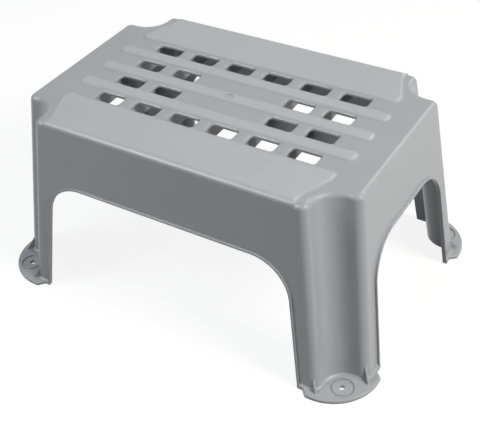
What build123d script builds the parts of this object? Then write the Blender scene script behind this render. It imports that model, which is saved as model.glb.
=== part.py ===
import math
import os

from build123d import *

# Body, in millimetres and degrees, measured to the sharp corners before any rounding
step_height = 205.0  # floor to the top of the tread strips
tread_length = 380.0  # along X at the tread
tread_width = 247.0  # along Y at the tread
wall_draft = 6.6  # every wall leans outwards by this angle towards the floor
wall_thickness = 2.4
tread_thickness = 3.5
top_edge_radius = 6.0

# Corner flutes, the concave channel that runs down each of the four corners
flute_radius = 24.0
leg_edge_radius = 8.0  # rounding where a flute meets a wall
flute_flank_x = 4.5  # straight part of a flank between its two roundings
flute_flank_y = 2.5

# Arches cut out of the walls, which leave the four legs
skirt_depth = 67.5  # wall left above an arch, measured from the top of the strips
front_leg_width = 21.0  # flat wall of a leg at the floor, front and back
side_leg_width = 25.7  # the same on the two ends
front_arch_lean = 7.6
side_arch_lean = 5.4
arch_corner_radius = 43.0
lip_reach = 2.1  # how far the arch lip stands out from the wall
lip_width = 1.7

# Feet, a round flange at the bottom of each flute
foot_radius = 50.0
foot_reach = 9.0  # how far a foot goes out past the wall
foot_thickness = 3.6
foot_edge_bevel = 1.0
foot_cove = 2.0  # sloping corner where a leg meets its foot
foot_end_overlap = 5.0  # the arc runs on past its quarter turn by this much
foot_end_taper = 6.0  # then tapers in to the lip over this length
screw_offset_x = 5.9  # from the flute's axis towards the leg
screw_offset_y = 5.9
screw_hole_diameter = 6.0
seat_diameter = 22.0  # ring groove round the screw seat
seat_groove_width = 1.8
seat_groove_depth = 0.8
gusset_thickness = 2.0  # fins that brace a foot against the two edges of its flute
gusset_height = 19.0
gusset_reach = 4.2  # out from the leg's sharp corner, along the diagonal
gusset_setback = 2.6  # front and back fins start this far along the wall from that corner

# Drain slots in the tread
slot_columns = 6
slot_rows = 4
slot_pitch_x = 45.0
slot_pitch_y = 36.3
slot_shift_x = 2.6  # the whole grid sits this far towards +X
slot_length = 30.8
slot_width = 16.0
slot_corner_cut = 2.0  # the corners are cut off rather than rounded
slot_edge_bevel = 1.2  # sloping rim at the top of a slot
slot_margin = 2.0  # floor of a groove beside its slots
solid_columns = 2  # middle columns without slots
solid_rows = 2  # in the middle rows

# Raised anti-slip strips
relief_height = 1.4
strip_end_gap = 30.0  # from the end of a strip to the tread's end
strip_corner_radius = 6.0
strip_slope = 2.4  # run of the sloping edge round a strip or band
band_end_gap = 34.0  # from the end of a front or back band to the tread's end
band_setback = 11.5  # from the end of a front or back band to the flute
band_shoulder = 13.0  # straight end of a band before it slants back round the flute
band_slant = 34.0  # length of that slant along Y
band_corner_radius = 12.0

# Underside
rib_thickness = 2.2
rib_depth = 22.0
gate_diameter = 9.0  # moulding mark in the middle of the tread
gate_depth = 0.6

# Working allowances
overrun = 5.0  # how far a cutting shape passes the face it cuts
bite = 0.5  # how far an added shape goes into what it is joined to

tread_z = step_height - relief_height
ceiling_z = tread_z - tread_thickness
arch_top_z = step_height - skirt_depth
flute_depth_x = flute_radius + leg_edge_radius + flute_flank_x
flute_depth_y = flute_radius + leg_edge_radius + flute_flank_y
groove_width = slot_width + 2 * slot_margin
strip_width = slot_pitch_y - groove_width
strip_length = tread_length - 2 * strip_end_gap


def half_length(z):
    return tread_length / 2 + (step_height - z) * math.tan(math.radians(wall_draft))


def half_width(z):
    return tread_width / 2 + (step_height - z) * math.tan(math.radians(wall_draft))


def plan_outline(z, inset):
    # Rectangle with a rounded notch at each corner, moved in by inset all round
    half_x = half_length(z) - inset
    half_y = half_width(z) - inset
    flank_x = half_x - flute_depth_x
    flank_y = half_y - flute_depth_y
    cross = Rectangle(2 * half_x, 2 * flank_y) + Rectangle(2 * flank_x, 2 * half_y)
    hollow = [v for v in cross.vertices() if abs(v.X) < half_x - bite and abs(v.Y) < half_y - bite]
    cross = fillet(hollow, flute_radius + inset)
    outer = [v for v in cross.vertices() if abs(abs(v.X) - half_x) + abs(abs(v.Y) - flank_y) < bite]
    outer += [v for v in cross.vertices() if abs(abs(v.X) - flank_x) + abs(abs(v.Y) - half_y) < bite]
    cross = fillet(outer, leg_edge_radius - inset)
    return Pos(0, 0, z) * cross


def drafted_box(low_z, high_z, half_x, half_y):
    base = Pos(0, 0, low_z) * Rectangle(2 * half_x, 2 * half_y)
    return extrude(base, amount=high_z - low_z, taper=wall_draft)


def upright_edges(body, on_place):
    # Edges that run up a wall, picked by where they start at the bottom
    chosen = []
    for edge in body.edges():
        low = min(edge.vertices(), key=lambda v: v.Z)
        high = max(edge.vertices(), key=lambda v: v.Z)
        if high.Z - low.Z > bite and on_place(abs(low.X), abs(low.Y)):
            chosen.append(edge)
    return chosen


def block(low_z, high_z, inset):
    # Two crossed boxes leave a notch at each corner, which is then rounded into a flute
    half_x = half_length(low_z) - inset
    half_y = half_width(low_z) - inset
    flank_x = half_x - flute_depth_x
    flank_y = half_y - flute_depth_y
    body = drafted_box(low_z, high_z, half_x, flank_y) + drafted_box(low_z, high_z, flank_x, half_y)
    notch = upright_edges(body, lambda x, y: x < half_x - bite and y < half_y - bite)
    body = fillet(notch, flute_radius + inset)
    leg = upright_edges(body, lambda x, y: abs(x - half_x) + abs(y - flank_y) < bite)
    leg += upright_edges(body, lambda x, y: abs(x - flank_x) + abs(y - half_y) < bite)
    return fillet(leg, leg_edge_radius - inset)


def rounded_block(high_z):
    radius = min(top_edge_radius, 0.9 * leg_edge_radius)
    body = block(0, high_z, 0)
    return fillet(body.edges().group_by(Axis.Z)[-1], radius)


def arch_prism(plane, half_floor, lean, grow):
    # Leaning sides and rounded upper corners, wider by grow all round, right through the body
    slope = math.tan(math.radians(lean))
    half_low = half_floor + grow + overrun * slope
    half_high = half_floor + grow - (arch_top_z + grow) * slope
    corners = [
        (-half_low, -overrun),
        (half_low, -overrun),
        (half_high, arch_top_z + grow),
        (-half_high, arch_top_z + grow),
    ]
    profile = make_face(Polyline(*corners, close=True))
    upper = [v for v in profile.vertices() if v.Y > 0]
    profile = fillet(upper, arch_corner_radius + grow)
    return extrude(plane * profile, amount=tread_length, both=True)


front_arch_half = half_length(0) - flute_depth_x - front_leg_width
side_arch_half = half_width(0) - flute_depth_y - side_leg_width


def arches(grow):
    front = arch_prism(Plane.XZ, front_arch_half, front_arch_lean, grow)
    side = arch_prism(Plane.YZ, side_arch_half, side_arch_lean, grow)
    return front, side


def slot_places():
    places = []
    for column in range(slot_columns):
        for row in range(slot_rows):
            across = column - (slot_columns - 1) / 2
            along = row - (slot_rows - 1) / 2
            in_middle = abs(across) < solid_columns / 2 and abs(along) < solid_rows / 2
            if not in_middle:
                places.append((slot_shift_x + across * slot_pitch_x, along * slot_pitch_y))
    return places


def slot_outline(z, grow):
    # Rectangle with cut-off corners, wider by grow all round
    cut = slot_corner_cut + (2 - math.sqrt(2)) * grow
    outline = Rectangle(slot_length + 2 * grow, slot_width + 2 * grow)
    return Pos(0, 0, z) * chamfer(outline.vertices(), cut)


def cut_slots(body):
    bevel = min(slot_edge_bevel, 0.8 * slot_margin)
    hole = extrude(slot_outline(ceiling_z - overrun, 0), amount=tread_thickness + 2 * overrun)
    hole += loft([slot_outline(tread_z - bevel, 0), slot_outline(tread_z + bevel, 2 * bevel)], ruled=True)
    for x, y in slot_places():
        body -= Pos(x, y) * hole
    return body


def sloping_relief(outline):
    # Raised part of the tread over an outline, with a sloping edge all round
    base = extrude(Pos(0, 0, tread_z - top_edge_radius) * outline, amount=top_edge_radius)
    top = offset(outline, amount=-strip_slope)
    return base + loft([Pos(0, 0, tread_z) * outline, Pos(0, 0, step_height) * top], ruled=True)


def tread_strip(y):
    radius = min(strip_corner_radius, 0.45 * strip_width)
    outline = RectangleRounded(strip_length, strip_width, radius)
    floor = Pos(0, 0, tread_z - overrun) * Box(2 * tread_length, 2 * tread_width, 2 * (overrun - bite))
    return Pos(0, y) * (sloping_relief(outline) - floor)


def front_band():
    # Wide band along the front edge, with its ends slanted back round the flutes
    inner_y = -(slot_rows - 1) * slot_pitch_y / 2 - groove_width / 2
    end_x = tread_length / 2 - band_end_gap
    front_x = half_length(step_height) - flute_depth_x - band_setback
    slant_y = inner_y - band_shoulder
    front_y = -half_width(0)
    right = [(end_x, inner_y), (end_x, slant_y), (front_x, slant_y - band_slant), (front_x, front_y)]
    left = [(-x, y) for x, y in reversed(right)]
    outline = make_face(Polyline(*right, *left, close=True))
    inner = [v for v in outline.vertices() if v.Y > inner_y - bite]
    outline = fillet(inner, strip_corner_radius)
    slanted = [v for v in outline.vertices() if slant_y - band_slant - bite < v.Y < slant_y + bite]
    outline = fillet(slanted, band_corner_radius)
    return rounded_block(step_height) & sloping_relief(outline)


def foot_outline():
    # Foot of the corner at +X +Y: a disc, with a ledge along both walls as far as the arches
    lip_x = half_length(0) + lip_reach
    lip_y = half_width(0) + lip_reach
    centre_x = half_length(0) + foot_reach - foot_radius
    centre_y = half_width(0) + foot_reach - foot_radius
    arc = math.sqrt(foot_radius**2 - foot_end_overlap**2)
    diagonal = foot_radius / math.sqrt(2)
    arc_start = (centre_x - foot_end_overlap, centre_y + arc)
    arc_middle = (centre_x + diagonal, centre_y + diagonal)
    arc_end = (centre_x + arc, centre_y - foot_end_overlap)
    corners = [
        arc_end,
        (lip_x, arc_end[1] - foot_end_taper),
        (lip_x, side_arch_half - overrun),
        (front_arch_half - overrun, side_arch_half - overrun),
        (front_arch_half - overrun, lip_y),
        (arc_start[0] - foot_end_taper, lip_y),
        arc_start,
    ]
    return make_face([ThreePointArc(arc_start, arc_middle, arc_end), Polyline(*corners)])


def foot():
    plate = extrude(foot_outline(), amount=foot_thickness)
    plate = chamfer(plate.edges().group_by(Axis.Z)[-1], foot_edge_bevel)
    screw_x = half_length(0) - flute_depth_x + flute_radius - screw_offset_x
    screw_y = half_width(0) - flute_depth_y + flute_radius - screw_offset_y
    hole = Cylinder(screw_hole_diameter / 2, 4 * foot_thickness)
    ring = Circle(seat_diameter / 2 + seat_groove_width / 2) - Circle(seat_diameter / 2 - seat_groove_width / 2)
    groove = extrude(Pos(0, 0, foot_thickness - seat_groove_depth) * ring, amount=overrun)
    return plate - Pos(screw_x, screw_y) * hole - Pos(screw_x, screw_y) * groove


def gusset(x, y):
    # Three-cornered fin along the diagonal, rooted in the leg's rounded edge
    slope = math.tan(math.radians(wall_draft))
    root = leg_edge_radius + gusset_reach
    lean = (leg_edge_radius * (math.sqrt(2) - 1) + gusset_height * slope * math.sqrt(2)) + bite
    corners = [
        (-root, bite),
        (gusset_reach, bite),
        (gusset_reach, foot_thickness),
        (-lean, gusset_height),
        (-root, gusset_height),
    ]
    profile = make_face(Polyline(*corners, close=True))
    fin = extrude(Plane.XZ * profile, amount=gusset_thickness / 2, both=True)
    return Pos(x, y) * Rot(0, 0, 45) * fin


def braced_foot():
    flank_x = half_length(0) - flute_depth_x
    flank_y = half_width(0) - flute_depth_y
    return foot() + gusset(flank_x - gusset_setback, half_width(0)) + gusset(half_length(0), flank_y)


def foot_coves():
    # Sloping corner all round the legs, kept only where it lies on a foot
    low = plan_outline(foot_thickness - bite, -foot_cove - bite)
    high = plan_outline(foot_thickness + foot_cove + bite, bite)
    on_feet = four_corners(extrude(foot_outline(), amount=foot_thickness + 2 * foot_cove))
    return loft([low, high], ruled=True) & on_feet


def four_corners(piece):
    pair = piece + mirror(piece, Plane.YZ)
    return pair + mirror(pair, Plane.XZ)


def ribs(room):
    # One long rib under the middle strip and one cross rib under each bar between the columns
    height = rib_depth + bite
    middle_z = ceiling_z + bite - height / 2
    grid = Pos(0, 0, middle_z) * Box(2 * tread_length, rib_thickness, height)
    for column in range(slot_columns + 1):
        x = slot_shift_x + (column - slot_columns / 2) * slot_pitch_x
        grid += Pos(x, 0, middle_z) * Box(rib_thickness, 2 * tread_width, height)
    return grid & room


def build_step():
    hollow = block(-overrun, ceiling_z, wall_thickness)
    front_arch, side_arch = arches(0)
    front_ring, side_ring = arches(lip_width)

    shell = rounded_block(tread_z) - hollow
    shell = cut_slots(shell)
    band = front_band() - hollow
    shell += band + mirror(band, Plane.XZ)
    for row in range(slot_rows - 1):
        shell += tread_strip((row - (slot_rows - 2) / 2) * slot_pitch_y)

    lip_block = block(0, arch_top_z + 2 * overrun, -lip_reach)
    shell += (lip_block & front_ring) - hollow
    shell += (lip_block & side_ring) - hollow
    shell += four_corners(braced_foot()) - hollow
    shell += foot_coves() - hollow
    shell -= front_arch
    shell -= side_arch

    room = block(arch_top_z, ceiling_z + bite, wall_thickness - bite)
    shell += ribs(room)
    gate = Cylinder(gate_diameter / 2, 2 * gate_depth)
    return shell - Pos(0, 0, step_height) * gate


os.makedirs("parts", exist_ok=True)
export_step(build_step(), "parts/step_moulding.step")
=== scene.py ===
import math

import bpy
from mathutils import Matrix, Vector


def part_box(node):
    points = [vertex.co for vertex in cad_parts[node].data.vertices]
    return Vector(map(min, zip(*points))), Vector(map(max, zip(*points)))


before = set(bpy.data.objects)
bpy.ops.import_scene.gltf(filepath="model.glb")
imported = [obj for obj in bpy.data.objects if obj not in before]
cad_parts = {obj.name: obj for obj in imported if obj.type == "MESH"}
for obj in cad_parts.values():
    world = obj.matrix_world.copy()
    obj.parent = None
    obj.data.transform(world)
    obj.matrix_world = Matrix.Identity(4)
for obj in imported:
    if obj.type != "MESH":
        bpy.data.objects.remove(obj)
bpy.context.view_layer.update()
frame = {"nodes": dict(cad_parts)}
scene = bpy.context.scene
scene.view_settings.view_transform = "Standard"
step = frame["nodes"]["step_moulding"]
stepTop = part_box("step_moulding")[1][2]  # top of the raised strips; all lengths are in metres
print("frame loaded, parts:", ", ".join(frame["nodes"]))


# links another node's output to a socket, or sets a plain value on it
def feed(tree, source, socket):
    if isinstance(source, bpy.types.NodeSocket):
        tree.links.new(source, socket)
    else:
        socket.default_value = source


def addNode(tree, kind, sources=None, **settings):
    node = tree.nodes.new(kind)
    for name, value in settings.items():
        setattr(node, name, value)
    for name, source in (sources or {}).items():
        feed(tree, source, node.inputs[name])
    return node


def addMath(tree, operation, *sources, **settings):
    node = addNode(tree, "ShaderNodeMath", dict(enumerate(sources)), operation=operation, **settings)
    return node.outputs["Value"]


# carries a value from one span into another and stops at its ends
def remap(tree, value, span=(0.0, 1.0), into=(0.0, 1.0), curve="LINEAR"):
    ends = {"From Min": span[0], "From Max": span[1], "To Min": into[0], "To Max": into[1]}
    node = addNode(tree, "ShaderNodeMapRange", {"Value": value, **ends}, interpolation_type=curve)
    return node.outputs["Result"]


def mix(tree, kind, share, under, over, **settings):
    sources = {"Factor": share, "A": under, "B": over}
    node = addNode(tree, "ShaderNodeMix", sources, data_type=kind, **settings)
    return node.outputs["Result"]


# a group that takes a place and one size, and puts out plain values
def newGroup(name, sizeName, outputs):
    group = bpy.data.node_groups.new(name, "ShaderNodeTree")
    group.interface.new_socket("Vector", in_out="INPUT", socket_type="NodeSocketVector")
    group.interface.new_socket(sizeName, in_out="INPUT", socket_type="NodeSocketFloat")
    for outputName in outputs:
        group.interface.new_socket(outputName, in_out="OUTPUT", socket_type="NodeSocketFloat")
    given = group.nodes.new("NodeGroupInput").outputs
    made = group.nodes.new("NodeGroupOutput").inputs
    scale = addMath(group, "DIVIDE", 1.0, given[sizeName])
    return group, {"Vector": given["Vector"], "Scale": scale}, made


def newMaterial(name):
    material = bpy.data.materials.new(name)
    material.use_nodes = True
    tree = material.node_tree
    tree.nodes.clear()
    surface = addNode(tree, "ShaderNodeOutputMaterial").inputs["Surface"]
    return material, tree, surface


mouldGrainLook = {"detail": 3.0, "roughness": 0.6, "pitShare": 0.5}
cloudingLook = {"detail": 2.0, "roughness": 0.5}


def addNoise(tree, place, look):
    noise = {"Detail": look["detail"], "Roughness": look["roughness"]}
    return addNode(tree, "ShaderNodeTexNoise", {**place, **noise}).outputs["Fac"]


# fine eroded grain of the mould, as a height and as a speckle from 0 to 1
def makeMouldGrain(look):
    group, place, made = newGroup("mouldGrain", "Grain Size", ["Height", "Speckle"])
    grain = addNoise(group, place, look)
    pits = addNode(group, "ShaderNodeTexVoronoi", place, feature="SMOOTH_F1").outputs["Distance"]
    feed(group, addMath(group, "MULTIPLY_ADD", pits, look["pitShare"], grain), made["Height"])
    feed(group, grain, made["Speckle"])
    return group


# slow clouding of the pigment, which the gloss follows
def makeClouding(look):
    group, place, made = newGroup("pigmentClouding", "Cloud Size", ["Cloud"])
    feed(group, addNoise(group, place, look), made["Cloud"])
    return group


mouldGrain = makeMouldGrain(mouldGrainLook)
pigmentClouding = makeClouding(cloudingLook)
print("grain and clouding made")

greyPlasticLook = {
    "pale": (0.430, 0.453, 0.471, 1.0),
    "deep": (0.410, 0.432, 0.449, 1.0),
    "cloudSize": 0.07,
    "cloudSpan": (0.15, 0.85),  # the part of the clouding that goes from deep to pale
    "speckle": 0.1,  # how much of the grain shows in the pigment
    "grainSize": 0.0007,
    "grainDepth": 0.00002,
    "grainStrength": 0.3,
    "treadDepth": (0.0030, 0.0016),  # below the top: where the tread starts and where it is full
    "stripDepth": (0.0011, 0.0003),  # the same for the raised strips
    "treadPaintedShade": 0.925,  # painted shade keeps the sunk part of the tread darker
    "stripPaintedSheen": 1.12,  # painted sheen keeps the strips paler
    "edgeRadius": 0.0014,  # softening of the moulded edges
    "treadEdgeRadius": 0.0028,  # and of the strips and slots on the tread
    "edgeSamples": 6,
    "edgeTurn": (0.995, 0.85),  # cosine of the turn where the paler edge, part wear and part painted highlight, starts and where it is full
    "edgeWearAndHighlight": 0.5,
    "paleEdgeAndHighlight": (0.478, 0.503, 0.523, 1.0),
    "cornerShadeReach": 0.006,  # painted shade darkens corners and grooves about this wide
    "cornerShadeSamples": 8,
    "cornerShadeOpen": (0.35, 0.85),  # openness where the painted shade is full and where it ends
    "cornerShadeFull": 0.72,
    "roughness": (0.27, 0.31),  # satin
    "stripRoughness": 0.28,  # the strips are trodden to one even gloss
    "specular": 0.5,
}


def makeGreyPlastic(look):
    material, tree, surface = newMaterial("greyPlastic")
    place = addNode(tree, "ShaderNodeTexCoord").outputs["Object"]
    # pigment, clouded and faintly speckled
    clouding = {"Vector": place, "Cloud Size": look["cloudSize"]}
    cloud = addNode(tree, "ShaderNodeGroup", clouding, node_tree=pigmentClouding).outputs["Cloud"]
    graining = {"Vector": place, "Grain Size": look["grainSize"]}
    grain = addNode(tree, "ShaderNodeGroup", graining, node_tree=mouldGrain).outputs
    spread = remap(tree, cloud, look["cloudSpan"], curve="SMOOTHSTEP")
    speckled = addMath(tree, "MULTIPLY_ADD", grain["Speckle"], look["speckle"], spread, use_clamp=True)
    pigment = mix(tree, "RGBA", speckled, look["deep"], look["pale"])

    # masks by height: the tread, and the strips that stand up from it
    height = addNode(tree, "ShaderNodeSeparateXYZ", {"Vector": place}).outputs["Z"]
    tread = remap(tree, height, [stepTop - depth for depth in look["treadDepth"]])
    strips = remap(tree, height, [stepTop - depth for depth in look["stripDepth"]])

    # edges: the softened normal differs from the plain one only near an edge
    radius = remap(tree, tread, into=(look["edgeRadius"], look["treadEdgeRadius"]))
    bevel = addNode(tree, "ShaderNodeBevel", {"Radius": radius}, samples=look["edgeSamples"])
    soft = bevel.outputs["Normal"]
    plain = addNode(tree, "ShaderNodeNewGeometry").outputs["Normal"]
    turn = addNode(tree, "ShaderNodeVectorMath", {0: soft, 1: plain}, operation="DOT_PRODUCT")
    edge = remap(tree, turn.outputs["Value"], look["edgeTurn"], (0.0, look["edgeWearAndHighlight"]))
    # paler edges: partly wear, partly painted highlight along every edge
    rubbedAndHighlit = mix(tree, "RGBA", edge, pigment, look["paleEdgeAndHighlight"])

    # painted shade darkens the tread where it is sunk, and painted sheen pales the strips
    sunk = addMath(tree, "SUBTRACT", tread, strips, use_clamp=True)
    paintedShade = remap(tree, sunk, into=(1.0, look["treadPaintedShade"]))
    paintedSheen = remap(tree, strips, into=(1.0, look["stripPaintedSheen"]))
    shadeAndSheen = addMath(tree, "MULTIPLY", paintedShade, paintedSheen)
    wornAndShaded = mix(tree, "RGBA", 1.0, rubbedAndHighlit, shadeAndSheen, blend_type="MULTIPLY")

    # painted shade: corners and grooves are darkened by how closed they are
    occlusion = addNode(tree, "ShaderNodeAmbientOcclusion", {"Distance": look["cornerShadeReach"]})
    occlusion.samples = look["cornerShadeSamples"]
    occlusion.only_local = True
    paintedCornerShade = remap(tree, occlusion.outputs["AO"], look["cornerShadeOpen"], (look["cornerShadeFull"], 1.0))
    colour = mix(tree, "RGBA", 1.0, wornAndShaded, paintedCornerShade, blend_type="MULTIPLY")

    # gloss: satin that follows the clouding, even on the strips
    satin = remap(tree, speckled, into=look["roughness"])
    gloss = mix(tree, "FLOAT", strips, satin, look["stripRoughness"])
    bump = addNode(tree, "ShaderNodeBump", {
        "Height": grain["Height"],
        "Distance": look["grainDepth"],
        "Strength": look["grainStrength"],
        "Normal": soft,
    })
    shader = addNode(tree, "ShaderNodeBsdfPrincipled", {
        "Base Color": colour,
        "Roughness": gloss,
        "Specular IOR Level": look["specular"],
        "Normal": bump.outputs["Normal"],
    })
    feed(tree, shader.outputs["BSDF"], surface)
    return material


step.data.materials.clear()
step.data.materials.append(makeGreyPlastic(greyPlasticLook))
print("grey plastic on", step.name)


# one shader for what is seen, straight, mirrored or through, and one for the light that is given
def splitBySight(tree, given, seen):
    path = addNode(tree, "ShaderNodeLightPath").outputs
    mirrored = addMath(tree, "MAXIMUM", path["Is Camera Ray"], path["Is Glossy Ray"])
    inSight = addMath(tree, "MAXIMUM", mirrored, path["Is Transmission Ray"])
    return addNode(tree, "ShaderNodeMixShader", {0: inSight, 1: given, 2: seen}).outputs["Shader"]


floorLook = {
    "size": 12.0,
    "drop": 0.0004,  # keeps it just clear of the feet
    "colour": (0.2, 0.2, 0.2, 1.0),
    "glow": 0.87,  # brings it near white where it is seen, and leaves the shadow
}


def makePaleFloor(look):
    material, tree, surface = newMaterial("paleFloor")
    matt = addNode(tree, "ShaderNodeBsdfDiffuse", {"Color": look["colour"]}).outputs["BSDF"]
    glow = addNode(tree, "ShaderNodeEmission", {"Strength": look["glow"]}).outputs["Emission"]
    bright = addNode(tree, "ShaderNodeAddShader", {0: matt, 1: glow}).outputs["Shader"]
    feed(tree, splitBySight(tree, matt, bright), surface)
    return material


def makeFloor(look):
    mesh = bpy.data.meshes.new("studioFloor")
    half = look["size"] / 2
    corners = [(-half, -half, 0), (half, -half, 0), (half, half, 0), (-half, half, 0)]
    mesh.from_pydata(corners, [], [(0, 1, 2, 3)])
    mesh.materials.append(makePaleFloor(look))
    floor = bpy.data.objects.new("studioFloor", mesh)
    floor.location.z = -look["drop"]
    scene.collection.objects.link(floor)


makeFloor(floorLook)
print("floor laid")

lampWhites = {"warm": (1.0, 0.98, 0.945), "cool": (0.93, 0.97, 1.0), "pale": (0.97, 0.985, 1.0)}

# turn from +X and rise above the floor in degrees, seen from the aim; power in watts
# the key's matt light and its sheen are two lamps at one place, so that the tread doesn't glare
# the two glints are large cards that show only as gloss along the rounded top edges
studioLights = {
    "keyRight": {
        "turn": -2.0, "rise": 40.0, "distance": 1.9, "size": 0.8, "power": 30.0,
        "white": "warm", "lightsMatt": True, "lightsGloss": False,
    },
    "keySheen": {
        "turn": -2.0, "rise": 40.0, "distance": 1.9, "size": 0.8, "power": 14.0,
        "white": "warm", "lightsMatt": False, "lightsGloss": True,
    },
    "frontLeft": {
        "turn": -133.0, "rise": 43.0, "distance": 1.6, "size": 0.8, "power": 9.5,
        "white": "cool", "lightsMatt": True, "lightsGloss": True,
    },
    "backLeft": {
        "turn": 124.0, "rise": 37.0, "distance": 2.4, "size": 0.9, "power": 0.8,
        "white": "cool", "lightsMatt": True, "lightsGloss": True,
    },
    "backFill": {
        "turn": 104.0, "rise": 9.0, "distance": 2.4, "size": 0.9, "power": 13.0,
        "white": "pale", "lightsMatt": True, "lightsGloss": False,
    },
    "frontEdgeGlint": {
        "turn": -132.0, "rise": 49.0, "distance": 2.4, "size": 1.3, "power": 14.0,
        "white": "pale", "lightsMatt": False, "lightsGloss": True,
    },
    "rightEdgeGlint": {
        "turn": 76.0, "rise": 43.0, "distance": 2.4, "size": 1.2, "power": 11.5,
        "white": "pale", "lightsMatt": False, "lightsGloss": True,
    },
}
lightAim = Vector((0.0, 0.0, 0.12))


def direction(turn, rise):
    turn = math.radians(turn)
    rise = math.radians(rise)
    return Vector((math.cos(turn) * math.cos(rise), math.sin(turn) * math.cos(rise), math.sin(rise)))


def makeLight(name, light):
    data = bpy.data.lights.new(name, "AREA")
    data.shape = "DISK"
    data.size = light["size"]
    data.energy = light["power"]
    data.color = lampWhites[light["white"]]
    lamp = bpy.data.objects.new(name, data)
    towards = direction(light["turn"], light["rise"])
    lamp.location = lightAim + light["distance"] * towards
    lamp.rotation_euler = (-towards).to_track_quat("-Z", "Y").to_euler()
    lamp.visible_diffuse = light["lightsMatt"]
    lamp.visible_glossy = light["lightsGloss"]
    scene.collection.objects.link(lamp)


for lightName, light in studioLights.items():
    makeLight(lightName, light)
print("lights:", ", ".join(studioLights))

skyLook = {"colour": (1.0, 1.0, 1.0, 1.0), "ambient": 0.01, "seen": 1.0}


def addBackground(tree, colour, strength):
    node = addNode(tree, "ShaderNodeBackground", {"Color": colour, "Strength": strength})
    return node.outputs["Background"]


def makeSky(look):
    world = bpy.data.worlds.new("studioSky")
    world.use_nodes = True
    tree = world.node_tree
    tree.nodes.clear()
    given = addBackground(tree, look["colour"], look["ambient"])
    seen = addBackground(tree, look["colour"], look["seen"])
    addNode(tree, "ShaderNodeOutputWorld", {"Surface": splitBySight(tree, given, seen)})
    scene.world = world


makeSky(skyLook)
print("sky made")

# in front, to the right and above, slightly rolled; turn and rise give the side that it looks from
cameraLook = {
    "at": (0.4628, -0.6944, 0.7181),
    "turn": -56.589,
    "rise": 38.401,
    "roll": -3.715,
    "lens": 72.173,  # millimetres, as the sensor
    "sensor": 36.0,
}


def makeCamera(look):
    data = bpy.data.cameras.new("photoCamera")
    data.sensor_fit = "HORIZONTAL"
    data.sensor_width = look["sensor"]
    data.lens = look["lens"]
    camera = bpy.data.objects.new("photoCamera", data)
    back = direction(look["turn"], look["rise"])
    level = (-back).to_track_quat("-Z", "Y").to_matrix().to_4x4()
    roll = Matrix.Rotation(math.radians(look["roll"]), 4, "Z")
    camera.matrix_world = Matrix.Translation(look["at"]) @ level @ roll
    scene.collection.objects.link(camera)
    scene.camera = camera


makeCamera(cameraLook)
print("camera set")
